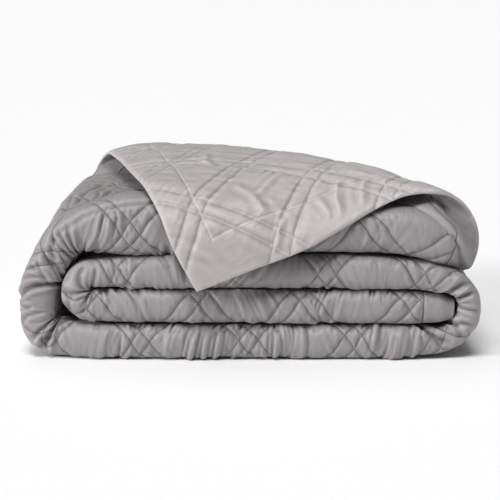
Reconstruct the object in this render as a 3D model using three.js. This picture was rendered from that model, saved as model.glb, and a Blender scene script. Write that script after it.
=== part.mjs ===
import * as THREE from 'three';

// Sizes are in millimetres: X along the pile, Y from its front to its back, Z up.
const WIDTH = 1600;
const DEPTH = 404;
const PLY = 8;
const HEM_PLY = 4.4;
const TURNED_PLY = 5.6;
const HEM_FADE = 55;
const PLY_GAP = 0.8;
const REVERSE_CLOTH = 2;
const BORDER = 40;
const INNER_HEM_IN = 6;
const SEAM = 0.3;
const CLOTH_GAP = 0.6;

// Diamond quilting: the diamonds repeat along the length and across, and stand up between the lines.
const DIAMOND = 133;
const DIAMOND_START = 54;
const LINE_REACH = 17;
const RAISE_FACE = 2.6;
const RAISE_REVERSE = 1.2;

// Spacing of the sections along the length.
const STRAIGHT_STEP = 44;
const TURNED_STEP = 26;
const BEND_STEP = THREE.MathUtils.degToRad(26);
const TOP_COLUMN = 46;

const FRONT = -DEPTH / 2;
const BACK = DEPTH / 2;
const FOLD_T = BACK - FRONT + 2;

const FACE_COLOUR = 0x8b8787;
const REVERSE_COLOUR = 0xc6c0c0;

// The middle line of the four-ply pack, from its inner end, round the spiral, to its free end on top.
// Each row is a corner of that line: its place, the radius that rounds it, half the pack's thickness,
// how far the front fold stands back, and how far the crest stands above the pack behind it.
const TURNS = [
  { x: 255, z: 61.5, radius: 0, half: 12, setBack: 13, crest: 0 },
  { x: 234, z: 63, radius: 200, half: 18.5, setBack: 5, crest: 0 },
  { x: 170, z: 66, radius: 400, half: 21, setBack: 2, crest: 0 },
  { x: -60, z: 67.5, radius: 900, half: 21.5, setBack: 0, crest: 0 },
  { x: -219, z: 67, radius: 22.5, half: 20.5, setBack: 8, crest: 0 },
  { x: -219, z: 112, radius: 22.5, half: 20.5, setBack: 8, crest: 0 },
  { x: -100, z: 112, radius: 900, half: 21.5, setBack: 1, crest: 0 },
  { x: 130, z: 112.5, radius: 900, half: 21.5, setBack: 0, crest: 0 },
  { x: 218, z: 109.5, radius: 200, half: 20, setBack: 2, crest: 0 },
  { x: 273, z: 97, radius: 31, half: 14.5, setBack: 6, crest: 0 },
  { x: 273, z: 21.5, radius: 34, half: 14.5, setBack: 8, crest: 0 },
  { x: 170, z: 21.5, radius: 0, half: 21.5, setBack: 2, crest: 0 },
  { x: -60, z: 21.5, radius: 0, half: 21.5, setBack: 0, crest: 0 },
  { x: -185, z: 21.5, radius: 0, half: 21.5, setBack: 4, crest: 0 },
  { x: -272, z: 23, radius: 38, half: 22, setBack: 13, crest: 0 },
  { x: -271, z: 92, radius: 70, half: 25.5, setBack: 17, crest: 0 },
  { x: -234, z: 166, radius: 50, half: 27, setBack: 10, crest: 6 },
  { x: -150, z: 167, radius: 300, half: 31, setBack: 2, crest: 9 },
  { x: -20, z: 162, radius: 600, half: 26, setBack: 0, crest: 6 },
  { x: 120, z: 158.5, radius: 600, half: 22.5, setBack: 0, crest: 2 },
  { x: 210, z: 156, radius: 300, half: 21, setBack: 2, crest: 0 },
  { x: 278, z: 132.5, radius: 0, half: 19, setBack: 6, crest: 0 },
];

// The turned corner's side hem, from the crease at the back of the pile to the hanging tip.
const TURNED_SIDE_HEM = [
  { x: -255, y: 203, z: 166 },
  { x: -243, y: 206, z: 183 },
  { x: -230, y: 200, z: 198 },
  { x: -218, y: 184, z: 210 },
  { x: -209, y: 160, z: 217 },
  { x: -202, y: 128, z: 221 },
  { x: -193, y: 88, z: 222 },
  { x: -179, y: 34, z: 221 },
  { x: -165, y: -36, z: 220 },
  { x: -149, y: -108, z: 218 },
  { x: -131, y: -180, z: 212 },
  { x: -113, y: -218, z: 187 },
  { x: -96, y: -230, z: 147 },
  { x: -68, y: -232, z: 95 },
];

// The turned corner's end hem, from the bottom of the front fold, over the arch, to the hanging tip.
const TURNED_END_HEM = [
  { x: 272, y: -178, z: 116 },
  { x: 280, y: -197, z: 124 },
  { x: 286, y: -203, z: 148 },
  { x: 277, y: -194, z: 178 },
  { x: 249, y: -182, z: 202 },
  { x: 222, y: -180, z: 208 },
  { x: 190, y: -184, z: 205 },
  { x: 150, y: -197, z: 189 },
  { x: 110, y: -212, z: 168 },
  { x: 64, y: -223, z: 145 },
  { x: -2, y: -230, z: 121 },
  { x: -68, y: -232, z: 95 },
];

// The loose roll between those hems: how far it stands up and back from them at mid length.
const ROLL = [
  { share: 0, up: 0, back: 0 },
  { share: 0.06, up: 13, back: 26 },
  { share: 0.12, up: 31, back: 34 },
  { share: 0.19, up: 39, back: 18 },
  { share: 0.27, up: 35, back: 4 },
  { share: 0.4, up: 27, back: -2 },
  { share: 0.55, up: 25, back: -6 },
  { share: 0.7, up: 22, back: -12 },
  { share: 0.85, up: 6, back: -5 },
  { share: 1, up: 0, back: 0 },
];
const ROLL_LEAN = new THREE.Vector2(0.62, 0.78);
const TURNED_SIDE = 525;
const JOIN_SHARE = 0.16;
const TURNED_ROWS = [
  0, 0.025, 0.05, 0.07, 0.09, 0.11, 0.13, 0.155, 0.185, 0.22,
  0.28, 0.36, 0.45, 0.54, 0.62, 0.68, 0.74, 0.8, 0.87, 0.94,
];

function leftOf(direction) {
  return new THREE.Vector2(-direction.y, direction.x);
}

// Straight runs and rounded corners, each with the length at which it starts.
function traceLine(turns) {
  const corners = turns.map((turn) => new THREE.Vector2(turn.x, turn.z));
  const runs = [];
  const stops = [0];
  let from = corners[0];
  let length = 0;
  const add = (run) => {
    runs.push({ ...run, start: length });
    length += run.length;
  };
  for (let i = 1; i < corners.length; i++) {
    const into = corners[i].clone().sub(corners[i - 1]).normalize();
    const last = i === corners.length - 1;
    const away = last ? into : corners[i + 1].clone().sub(corners[i]).normalize();
    const turn = Math.atan2(into.cross(away), into.dot(away));
    const cut = turns[i].radius * Math.tan(Math.abs(turn) / 2);
    const enter = corners[i].clone().addScaledVector(into, -cut);
    add({ from, into, length: enter.distanceTo(from) });
    if (cut > 0) {
      const centre = enter.clone().addScaledVector(leftOf(into), Math.sign(turn) * turns[i].radius);
      add({ from: enter, into, centre, turn, length: turns[i].radius * Math.abs(turn) });
      stops.push(length - turns[i].radius * Math.abs(turn) / 2);
    } else {
      stops.push(length);
    }
    from = corners[i].clone().addScaledVector(away, cut);
  }
  return { runs, stops, length };
}

const LINE = traceLine(TURNS);
const LENGTH = LINE.length;

function rowBefore(keys, key) {
  let i = 0;
  while (i < keys.length - 2 && key > keys[i + 1]) i++;
  return i;
}

// A column of a table between its rows, level at each row.
function easeRows(rows, keys, key, column) {
  const i = rowBefore(keys, key);
  const share = THREE.MathUtils.smoothstep(key, keys[i], keys[i + 1]);
  return THREE.MathUtils.lerp(rows[i][column], rows[i + 1][column], share);
}

// A column of a table as one smooth curve through its rows.
function curveRows(rows, keys, key, column) {
  const i = rowBefore(keys, key);
  const value = (k) => rows[k][column];
  const slope = (k) => {
    const before = Math.max(k - 1, 0);
    const after = Math.min(k + 1, rows.length - 1);
    return (value(after) - value(before)) / (keys[after] - keys[before]);
  };
  const span = keys[i + 1] - keys[i];
  const u = (key - keys[i]) / span;
  const rise = value(i + 1) - value(i);
  const lead = slope(i) * span;
  const trail = slope(i + 1) * span;
  return value(i) + u * (lead + u * (3 * rise - 2 * lead - trail + u * (lead + trail - 2 * rise)));
}

// The pack at one length: its middle, its outward direction and the shape of its section.
function packAt(s) {
  const run = LINE.runs.findLast((r) => r.start <= s + 1e-9) ?? LINE.runs[0];
  const along = s - run.start;
  let point;
  let heading = run.into;
  if (run.centre) {
    const angle = run.turn * along / run.length;
    point = run.from.clone().rotateAround(run.centre, angle);
    heading = run.into.clone().rotateAround(new THREE.Vector2(), angle);
  } else {
    point = run.from.clone().addScaledVector(run.into, along);
  }
  const column = (name) => easeRows(TURNS, LINE.stops, s, name);
  const half = column('half');
  const ply = Math.min(PLY, (2 * half - 3 * PLY_GAP) / 4);
  const crest = column('crest');
  const outer = half - ply / 2;
  const inner = outer - ply - (2 * half - 4 * ply) / 3;
  const bend = outer + crest / 2;
  const foldY = FRONT + column('setBack') + ply / 2 + bend;
  const backBend = (outer - inner) / 2;
  const backY = BACK - ply / 2 - backBend;
  const bottom = FOLD_T + bend * Math.PI / 2;
  const backStart = bottom + backY - foldY;
  const backEnd = backStart + backBend * Math.PI;
  const innerStart = backEnd + backY - foldY;
  const innerEnd = innerStart + inner * Math.PI;
  return {
    point, out: leftOf(heading), ply, outer, inner, bend, crest, foldY, backBend, backY,
    top: FOLD_T - bend * Math.PI / 2, bottom, backStart, backEnd, innerStart, innerEnd,
  };
}

// Where the cloth lies in the pack's section: out from the pack's middle, and back along Y.
function sectionAt(pack, t) {
  if (t < pack.top) {
    const behind = pack.top - t;
    const fall = THREE.MathUtils.smoothstep(behind, 0, 120);
    return [pack.outer + pack.crest * (1 - fall), pack.foldY + behind];
  }
  if (t < pack.bottom) {
    const angle = (t - pack.top) / pack.bend;
    return [pack.crest / 2 + pack.bend * Math.cos(angle), pack.foldY - pack.bend * Math.sin(angle)];
  }
  if (t < pack.backStart) {
    return [-pack.outer, pack.foldY + t - pack.bottom];
  }
  if (t < pack.backEnd) {
    const angle = (t - pack.backStart) / pack.backBend;
    const middle = -(pack.outer + pack.inner) / 2;
    return [middle - pack.backBend * Math.cos(angle), pack.backY + pack.backBend * Math.sin(angle)];
  }
  if (t < pack.innerStart) {
    return [-pack.inner, pack.backY - (t - pack.backEnd)];
  }
  if (t < pack.innerEnd) {
    const angle = (t - pack.innerStart) / pack.inner;
    return [-pack.inner * Math.cos(angle), pack.foldY - pack.inner * Math.sin(angle)];
  }
  const share = (t - pack.innerEnd) / (WIDTH - pack.innerEnd);
  return [pack.inner, THREE.MathUtils.lerp(pack.foldY, BACK - INNER_HEM_IN, share)];
}

function layPoint(s, t) {
  const pack = packAt(s);
  const [out, y] = sectionAt(pack, t);
  return new THREE.Vector3(pack.point.x + pack.out.x * out, y, pack.point.y + pack.out.y * out);
}

function hemCurve(rows) {
  const points = rows.map((row) => new THREE.Vector3(row.x, row.y, row.z));
  return new THREE.CatmullRomCurve3(points, false, 'centripetal');
}

const SIDE_HEM_CURVE = hemCurve(TURNED_SIDE_HEM);
const END_HEM_CURVE = hemCurve(TURNED_END_HEM);
const TURNED_END = packAt(LENGTH).bottom;
const ROLL_SHARES = ROLL.map((row) => row.share);

// Zero on the crease of the turned corner, one at its tip, negative on the cloth that stays put.
function turnedShare(s, t) {
  return 1 - (LENGTH - s) / TURNED_SIDE - t / TURNED_END;
}

function turnedT(s, share) {
  return TURNED_END * (1 - (LENGTH - s) / TURNED_SIDE - share);
}

function betweenHems(share, across) {
  const point = SIDE_HEM_CURVE.getPointAt(share).lerp(END_HEM_CURVE.getPointAt(share), across);
  const middle = 4 * across * (1 - across);
  const back = middle * curveRows(ROLL, ROLL_SHARES, share, 'back');
  point.x += ROLL_LEAN.x * back;
  point.y += ROLL_LEAN.y * back;
  point.z += middle * curveRows(ROLL, ROLL_SHARES, share, 'up');
  return point;
}

function turnedPoint(s, t) {
  const share = Math.min(turnedShare(s, t), 1);
  const fromEnd = (LENGTH - s) / TURNED_SIDE;
  const fromSide = t / TURNED_END;
  const across = THREE.MathUtils.clamp(fromSide / Math.max(fromEnd + fromSide, 1e-6), 0, 1);
  const point = betweenHems(share, across);
  const join = 1 - THREE.MathUtils.smoothstep(share, 0, JOIN_SHARE);
  if (join > 0) {
    const crease = layPoint(LENGTH - TURNED_SIDE * (1 - across), TURNED_END * across);
    point.addScaledVector(crease.sub(betweenHems(0, across)), join);
  }
  return point;
}

// The middle of the cloth: s runs along its length, t across its width from the outer side hem.
function clothMiddle(s, t) {
  return turnedShare(s, t) > 0 ? turnedPoint(s, t) : layPoint(s, t);
}

function faceDirection(s, t) {
  const step = 0.4;
  const s0 = Math.max(s - step, 0);
  const s1 = Math.min(s + step, LENGTH);
  const t0 = Math.max(t - step, 0);
  const t1 = Math.min(t + step, WIDTH);
  const along = clothMiddle(s1, t).sub(clothMiddle(s0, t));
  const across = clothMiddle(s, t1).sub(clothMiddle(s, t0));
  return across.cross(along).normalize();
}

const RIGHT_BEND = [LINE.stops[8], LINE.stops[11]];
const LEFT_WRAP = LINE.stops[13];

// One where the cloth shows, falling to zero where a layer lies on the next.
function shows(s, t) {
  const pack = packAt(s);
  const fold = 1 - THREE.MathUtils.smoothstep(Math.abs(t - FOLD_T), pack.bend * 0.75, pack.bend * 1.3);
  const bend = THREE.MathUtils.smoothstep(s, RIGHT_BEND[0], RIGHT_BEND[0] + 40)
    * (1 - THREE.MathUtils.smoothstep(s, RIGHT_BEND[1] - 90, RIGHT_BEND[1] - 50));
  const wrap = THREE.MathUtils.smoothstep(s, LEFT_WRAP + 40, LEFT_WRAP + 90);
  return t < FOLD_T ? Math.max(fold, bend, wrap) : fold;
}

function quilting(s, t) {
  const inside = Math.min(s, LENGTH - s, t, WIDTH - t) - BORDER;
  const reach = (value) => Math.abs(value - DIAMOND * Math.round(value / DIAMOND)) / Math.SQRT2;
  const along = s - DIAMOND_START;
  const nearest = Math.min(reach(along + t - FOLD_T), reach(along - t + FOLD_T));
  return THREE.MathUtils.smoothstep(nearest, 0, LINE_REACH * 1.6)
    * THREE.MathUtils.smoothstep(inside, 0, 12);
}

// The four levels through the cloth, from the face down to the reverse.
const FACE = 'face';
const UNDER_FACE = 'under face';
const OVER_REVERSE = 'over reverse';
const REVERSE = 'reverse';

function clothPoint(s, t, level) {
  const hem = Math.min(s, LENGTH - s, t, WIDTH - t);
  const ply = packAt(s).ply;
  const between = -ply / 2 + REVERSE_CLOTH;
  const turned = THREE.MathUtils.smoothstep(turnedShare(s, t), 0, 0.08);
  let rise;
  if (level === FACE) {
    const thin = ply * Math.max(
      (1 - HEM_PLY / PLY) * (1 - THREE.MathUtils.smoothstep(hem, 0, HEM_FADE)),
      (1 - TURNED_PLY / PLY) * turned,
    );
    rise = ply / 2 - thin + quilting(s, t) * RAISE_FACE * shows(s, t) * (1 - turned);
  } else if (level === UNDER_FACE) {
    rise = between + CLOTH_GAP / 2;
  } else if (level === OVER_REVERSE) {
    rise = between - CLOTH_GAP / 2;
  } else {
    rise = -ply / 2 - quilting(s, t) * RAISE_REVERSE * turned;
  }
  return clothMiddle(s, t).addScaledVector(faceDirection(s, t), rise);
}

// Lengths at which sections are taken: fine round the corners, even along the straight runs.
function takeSections() {
  const lengths = [0, BORDER];
  const creaseStart = LENGTH - TURNED_SIDE;
  for (const run of LINE.runs) {
    const bent = run.centre && Math.abs(run.turn) > 0.2;
    const parts = bent
      ? Math.ceil(Math.abs(run.turn) / BEND_STEP)
      : Math.max(1, Math.round(run.length / STRAIGHT_STEP));
    for (let i = 0; i < parts; i++) {
      const s = run.start + run.length * i / parts;
      if (s > lengths.at(-1) + 9 && s < creaseStart - 9) lengths.push(s);
    }
  }
  const turnedParts = Math.round((TURNED_SIDE - BORDER) / TURNED_STEP);
  for (let i = 0; i < turnedParts; i++) {
    lengths.push(creaseStart + (TURNED_SIDE - BORDER) * (i / turnedParts) ** 1.4);
  }
  return [...lengths, LENGTH - BORDER, LENGTH - BORDER / 2, LENGTH];
}

const SECTIONS = takeSections();

function sectionLengths(from, to) {
  return [from, ...SECTIONS.filter((s) => s > from + 1 && s < to - 1), to];
}

const FOLD_MARKS = ['top', 'bottom', 'backStart', 'backEnd', 'innerStart', 'innerEnd'];

// How far through the section a place lies: below zero on the turned corner, whole numbers at the folds.
function placeKey(s, pack, t) {
  const share = turnedShare(s, t);
  if (share > 0) return -share;
  const marks = [Math.max(turnedT(s, 0), 0), ...FOLD_MARKS.map((name) => pack[name]), WIDTH];
  const i = rowBefore(marks, t);
  return i + (t - marks[i]) / (marks[i + 1] - marks[i]);
}

function spread(from, to, parts) {
  return Array.from({ length: parts - 1 }, (unused, i) => from + (to - from) * (i + 1) / parts);
}

// Places across the width at one length, between two limits.
function sectionPlaces(s, level, from, to) {
  const pack = packAt(s);
  const crease = Math.max(turnedT(s, 0), 0);
  const lay = [
    ...FOLD_MARKS.map((name) => pack[name]),
    ...spread(pack.top, pack.bottom, level === FACE ? 6 : 4),
    ...spread(pack.backStart, pack.backEnd, 3),
    ...spread(pack.innerStart, pack.innerEnd, 3),
  ];
  if (level === FACE) lay.push(HEM_FADE);
  const open = shows(s, FOLD_T - 150) > 0 && level === FACE;
  if (open || s > LEFT_WRAP + 60) {
    const columns = open ? Math.round((pack.top - crease) / TOP_COLUMN) : 2;
    if (columns > 1) lay.push(...spread(crease, pack.top, columns));
  }
  const turned = TURNED_ROWS.map((share) => turnedT(s, share)).filter((t) => t >= 0);
  const seams = [BORDER, WIDTH - BORDER].filter((t) => t > from + 1 && t < to - 1);
  const edges = [0, BORDER, WIDTH - BORDER, WIDTH];
  const clear = (t) => t > from && t < to && edges.every((edge) => Math.abs(t - edge) > 3);
  const kept = [...turned, ...lay.filter((t) => t > crease + 4)].filter(clear);
  return [from, ...seams, to, ...kept]
    .sort((first, second) => first - second)
    .map((t) => ({ t, key: placeKey(s, pack, t), seam: seams.includes(t) }));
}

function splitAtSeams(places) {
  const cuts = places.flatMap((place, i) => (place.seam ? [i] : []));
  const ends = [0, ...cuts, places.length - 1];
  return ends.slice(1).map((end, i) => places.slice(ends[i], end + 1));
}

// Closes one piece of cloth between two levels, over a rectangle of its flat size.
function makeCloth(name, colour, [sFrom, sTo], [tFrom, tTo], upper, lower) {
  const positions = [];
  const faces = [];
  const ring = (s, level) => sectionPlaces(s, level, tFrom, tTo).map(({ t, key, seam }) => {
    const point = clothPoint(s, t, level);
    positions.push(point.x, point.y, point.z);
    return { index: positions.length / 3 - 1, key, seam };
  });
  const zip = (here, next, addHere, addNext) => {
    const nextParts = splitAtSeams(next);
    splitAtSeams(here).forEach((a, part) => {
      const b = nextParts[part];
      let i = 0;
      let j = 0;
      while (i < a.length - 1 || j < b.length - 1) {
        if (j === b.length - 1 || (i < a.length - 1 && a[i + 1].key < b[j + 1].key + 1e-6)) {
          faces.push(...addHere(a[i].index, a[i + 1].index, b[j].index));
          i++;
        } else {
          faces.push(...addNext(a[i].index, b[j].index, b[j + 1].index));
          j++;
        }
      }
    });
  };
  const rings = sectionLengths(sFrom, sTo).map((s) => ({ top: ring(s, upper), under: ring(s, lower) }));
  for (let i = 0; i < rings.length - 1; i++) {
    const here = rings[i];
    const next = rings[i + 1];
    zip(here.top, next.top, (a, a1, b) => [a, a1, b], (a, b, b1) => [a, b1, b]);
    zip(here.under, next.under, (a, a1, b) => [a, b, a1], (a, b, b1) => [a, b, b1]);
    const [u0, u1] = [here.top[0].index, next.top[0].index];
    const [l0, l1] = [here.under[0].index, next.under[0].index];
    faces.push(u0, u1, l0, u1, l1, l0);
    const [v0, v1] = [here.top.at(-1).index, next.top.at(-1).index];
    const [w0, w1] = [here.under.at(-1).index, next.under.at(-1).index];
    faces.push(v0, w0, v1, v1, w0, w1);
  }
  const first = rings[0];
  const final = rings.at(-1);
  zip(first.top, first.under, (a, a1, b) => [a, b, a1], (a, b, b1) => [a, b, b1]);
  zip(final.top, final.under, (a, a1, b) => [a, a1, b], (a, b, b1) => [a, b1, b]);
  const geometry = new THREE.BufferGeometry();
  geometry.setAttribute('position', new THREE.Float32BufferAttribute(positions, 3));
  geometry.setIndex(faces);
  geometry.computeVertexNormals();
  const material = new THREE.MeshStandardMaterial({ color: colour, roughness: 0.72, metalness: 0 });
  const mesh = new THREE.Mesh(geometry, material);
  mesh.name = name;
  return mesh;
}

const INNER_S = [BORDER, LENGTH - BORDER];
const INNER_T = [BORDER, WIDTH - BORDER];
const WHOLE_S = [0, LENGTH];
const WHOLE_T = [0, WIDTH];

const bedspread = new THREE.Group();
bedspread.name = 'quilted_bedspread';
bedspread.add(
  makeCloth('face_panel', FACE_COLOUR, INNER_S, INNER_T, FACE, UNDER_FACE),
  makeCloth('face_border_head', FACE_COLOUR, [0, BORDER - SEAM], WHOLE_T, FACE, UNDER_FACE),
  makeCloth('face_border_foot', FACE_COLOUR, [LENGTH - BORDER + SEAM, LENGTH], WHOLE_T, FACE, UNDER_FACE),
  makeCloth('face_border_side_a', FACE_COLOUR, INNER_S, [0, BORDER - SEAM], FACE, UNDER_FACE),
  makeCloth('face_border_side_b', FACE_COLOUR, INNER_S, [WIDTH - BORDER + SEAM, WIDTH], FACE, UNDER_FACE),
  makeCloth('reverse_panel', REVERSE_COLOUR, WHOLE_S, WHOLE_T, OVER_REVERSE, REVERSE),
);

// Stands on Z = 0 with the pile's box centred over the origin.
const box = new THREE.Box3().setFromObject(bedspread);
const centre = box.getCenter(new THREE.Vector3());
for (const cloth of bedspread.children) {
  cloth.geometry.translate(-centre.x, -centre.y, -box.min.z);
}

export default bedspread;
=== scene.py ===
import math

import bpy
import numpy as np
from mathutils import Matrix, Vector


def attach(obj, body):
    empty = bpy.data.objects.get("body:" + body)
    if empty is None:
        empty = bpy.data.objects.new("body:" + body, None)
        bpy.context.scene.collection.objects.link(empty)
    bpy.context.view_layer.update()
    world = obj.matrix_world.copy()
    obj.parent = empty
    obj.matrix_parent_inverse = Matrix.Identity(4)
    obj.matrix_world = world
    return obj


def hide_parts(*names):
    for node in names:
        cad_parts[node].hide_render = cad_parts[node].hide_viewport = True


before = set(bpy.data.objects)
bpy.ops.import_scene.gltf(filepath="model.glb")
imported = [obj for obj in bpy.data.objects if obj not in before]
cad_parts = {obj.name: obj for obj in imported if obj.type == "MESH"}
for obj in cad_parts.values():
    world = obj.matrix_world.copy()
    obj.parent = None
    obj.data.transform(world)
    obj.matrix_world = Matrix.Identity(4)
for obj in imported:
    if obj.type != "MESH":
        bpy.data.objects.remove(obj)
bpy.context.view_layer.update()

# One folded cloth in six pieces. Each point comes from a place on the flat cloth, s along it and t across
# it, and from a level through its thickness.
# Sizes are in millimetres until the meshes are made: X along the pile, Y from front to back, Z up.
MM_PER_M = 1000
TINY = 1e-9

# The flat cloth, its plies and hems.
WIDTH = 1600.0
BORDER = 40.0
SEAM = 0.3  # half the gap at a border's seam
PLY = 8.0
HEM_PLY = 4.4  # thickness at a hem
HEM_FADE = 55.0  # how far from a hem the ply gets thinner
HEM_ROUND = 2.6
HEM_EDGE = 0.04  # share of the thickness that is left at the very edge
TURNED_PLY = 5.6  # thickness on the turned corner
TURNED_FROM = 0.08  # share of the way to the tip where that thickness is reached
PLY_GAP = 0.8
REVERSE_CLOTH = 2.0
CLOTH_GAP = 0.6  # between the face with its filling and the reverse

# The pile: its front and back, the place across the cloth of the front fold, the shape of that fold (one
# is a half circle, less is squarer) and how uneven the folds are (height, length).
FRONT = -202.0
BACK = 202.0
FOLD_T = BACK - FRONT + 2
FOLD_SQUARE = 0.8
FRONT_UNEVEN = (1.6, 70.0)
BACK_UNEVEN = (2.2, 85.0)
CREST_FADE = 120.0
INNER_HEM_IN = 6.0
BOX_CENTRE = np.array([-4.2, -11.3, 0.0])

# The middle line of the four-ply pack, round the spiral to its free end on top. Columns: place along and
# up, rounding of the corner, half the pack's thickness, set back of the front fold, height of the crest
# over the front fold, sag under it.
TURNS = np.array([
    (255, 62, 0, 17, 8, 0, 0),
    (234, 63.5, 200, 21, 4, 0, 0),
    (170, 66, 400, 21, 2, 0, 0),
    (-60, 67.5, 900, 21.5, 0, 0, 0),
    (-222, 67, 20.5, 20.5, 8, 0, 0),
    (-222, 108, 20.5, 17, 8, 0, 0),
    (-100, 111, 900, 21, 1, 0, 0),
    (130, 112.5, 900, 21.5, 0, 0, 0),
    (218, 106, 200, 18, 2, 0, 0),
    (273, 93, 31, 12.5, 6, 0, 0),
    (273, 21.5, 44, 14.5, 8, 0, 0),
    (170, 21.5, 0, 21.5, 2, 0, 0),
    (-60, 21.5, 0, 21.5, 0, 0, 0),
    (-185, 21.5, 0, 21.5, 4, 0, 0),
    (-272, 23, 28, 22, 13, 0, 2),
    (-271, 92, 70, 22, 17, 0, 6),
    (-234, 166, 50, 20, 10, 2, 8),
    (-150, 167, 300, 30, 2, 9, 8),
    (-20, 162, 600, 26, 0, 6, 0),
    (120, 158.5, 600, 22.5, 0, 8, 0),
    (210, 154, 300, 21, 2, 20, 0),
    (278, 120, 0, 20, 6, 0, 0),
], float)
HALF, SET_BACK, CREST, SAG = 3, 4, 5, 6

# The turned corner's side hem, from the crease at the back to the hanging tip. Columns: x, y, z.
TURNED_SIDE_HEM = [
    (-255, 203, 166), (-243, 206, 183), (-230, 200, 198), (-218, 184, 210), (-209, 160, 217),
    (-202, 128, 221), (-193, 88, 222), (-179, 34, 221), (-165, -36, 220), (-149, -108, 218),
    (-131, -180, 212), (-113, -218, 187), (-96, -230, 147), (-68, -232, 95),
]
# Its end hem, from the bottom of the front fold, over the arch, to the hanging tip.
TURNED_END_HEM = [
    (274, -178, 98), (281, -197, 107), (287, -203, 138), (278, -194, 176), (249, -182, 202),
    (222, -180, 208), (190, -184, 205), (150, -197, 189), (110, -212, 168), (64, -223, 145),
    (-2, -230, 121), (-68, -232, 95),
]
# The loose roll between those hems. Columns: share of the way to the tip, rise, lean to the back.
ROLL = np.array([
    (0, 0, 0), (0.06, 12, 26), (0.12, 28, 34), (0.19, 35, 18), (0.27, 31, 4), (0.4, 24, -2),
    (0.55, 25, -6), (0.7, 22, -12), (0.85, 6, -5), (1, 0, 0),
], float)
ROLL_LEAN = (0.62, 0.78)
ROLL_FULL = 0.85
TURNED_SIDE = 525.0
JOIN_SHARE = 0.22
CURVE_STEPS = 60
# The end border is tucked back under the arch: how far, over which strip of the end, between which places
# across the cloth, and fading between which depths.
END_TUCK = 26.0
TUCK_STRIP = BORDER + 8
TUCK_ACROSS = (285, 345)
TUCK_DEEP = (-160, -40)
# Shift of the end border's seam along X: by its top, then by its front, with the places across the cloth.
SEAM_TOP = (-15.0, 345.0, 26.0)
SEAM_FRONT = (8.0, 372.0, 406.0, 430.0, 475.0)
SEAM_STRIP = 140

# Diamond quilting in double lines. The rows are places on the flat cloth (along, across) where pairs of
# lines cross on the front folds. The offsets set the lines of the turned corner, and both patterns join
# between two places across the cloth.
DIAMOND = 133.0
PAIR = 17.0
CROSSINGS = np.array([
    (-80, 412), (57, 417), (195, 426), (322, 422), (462, 417), (555, 412), (688, 411), (817, 407), (939, 414),
    (1079, 414), (1187, 414), (1320, 409), (1457, 407), (1573, 406), (1688, 406), (1803, 412), (1944, 396),
    (2085, 380), (2218, 376),
], float)
TURNED_PLUS, TURNED_MINUS = 342.0, -408.0
QUILT_JOIN = (250, 360)
# The puff rises from a stitch line in two parts (share, reach). Between the two lines of a pair it is low.
PUFF_RISE = ((0.65, 3.2), (0.35, 15))
PAIR_PUFF, PAIR_ROUND = 0.5, 0.7
FACE_PUFF = 3.0
REVERSE_PUFF = 2.8
# Puckers along the stitch lines: their spacing, their reach, and how strong they are within a pair.
PUCKER_STEP, PUCKER_REACH, PUCKER_PAIR = 5.2, 11, 0.6
FACE_PUCKER, REVERSE_PUCKER = 1.3, 1.1
CLOSE_REACH = 16

# Main creases, listed on the flat cloth: depth, half width, then places (along, across) from end to end.
# On the turned corner, where the reverse shows, they stand out as low ridges.
LEFT_WRAP_CREASES = [
    (4.0, 18.0, [(1556, 440), (1600, 434), (1640, 430), (1680, 434), (1712, 446)]),
    (8.0, 2.8, [(1620, 368), (1631, 384), (1641, 396), (1649, 408), (1655, 420), (1657, 440), (1652, 466)]),
    (9.0, 2.8, [(1576, 374), (1575, 386), (1574, 400), (1574, 416), (1569, 435), (1553, 468)]),
    (3.5, 2.2, [(1581, 388), (1595, 423), (1612, 458)]),
    (3.0, 2.2, [(1584, 398), (1572, 406), (1562, 410)]),
    (7.0, 2.8, [(1730, 392), (1720, 412), (1714, 432), (1708, 456)]),
    (5.0, 2.4, [(1718, 396), (1712, 412), (1706, 434)]),
    (5.0, 2.4, [(1710, 394), (1703, 411), (1696, 430)]),
    (4.0, 2.4, [(1703, 398), (1692, 404), (1681, 409)]),
    (4.0, 2.2, [(1690, 390), (1682, 404), (1676, 424)]),
    (3.0, 2.2, [(1684, 394), (1674, 416), (1664, 438)]),
    (3.0, 2.2, [(1676, 390), (1660, 405), (1648, 416)]),
    (3.0, 2.2, [(1648, 380), (1655, 398), (1660, 412)]),
    (2.5, 2.2, [(1660, 382), (1665, 400)]),
    (2.6, 2.2, [(1600, 384), (1608, 398), (1612, 412)]),
    (2.4, 2.2, [(1616, 388), (1618, 402)]),
    (2.4, 2.6, [(1680, 400), (1714, 398), (1739, 396), (1753, 388), (1778, 381), (1823, 374), (1890, 362)]),
]
INNER_BEND_CREASES = [
    (5.0, 2.6, [(486, 388), (487, 400), (487, 414), (478, 430)]),
    (4.0, 2.4, [(472, 386), (480, 396), (486, 408)]),
    (4.5, 2.6, [(518, 396), (508, 404), (498, 410), (488, 418)]),
    (3.0, 2.6, [(462, 396), (472, 424)]),
    (3.0, 2.4, [(530, 398), (524, 412), (516, 428)]),
]
RIGHT_BEND_CREASES = [
    (6.5, 2.8, [(954, 436), (970, 420), (982, 408), (990, 398), (993, 390)]),
    (6.0, 2.6, [(996, 436), (999, 418), (998, 408), (1001, 394)]),
    (5.5, 2.6, [(1056, 432), (1047, 414), (1038, 408), (1033, 396)]),
    (3.0, 2.4, [(1044, 420), (1048, 408), (1056, 398)]),
    (6.0, 3.2, [(1114, 444), (1101, 425), (1087, 414), (1074, 406), (1062, 400)]),
    (3.0, 2.4, [(1014, 420), (1018, 408), (1020, 396)]),
]
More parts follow.
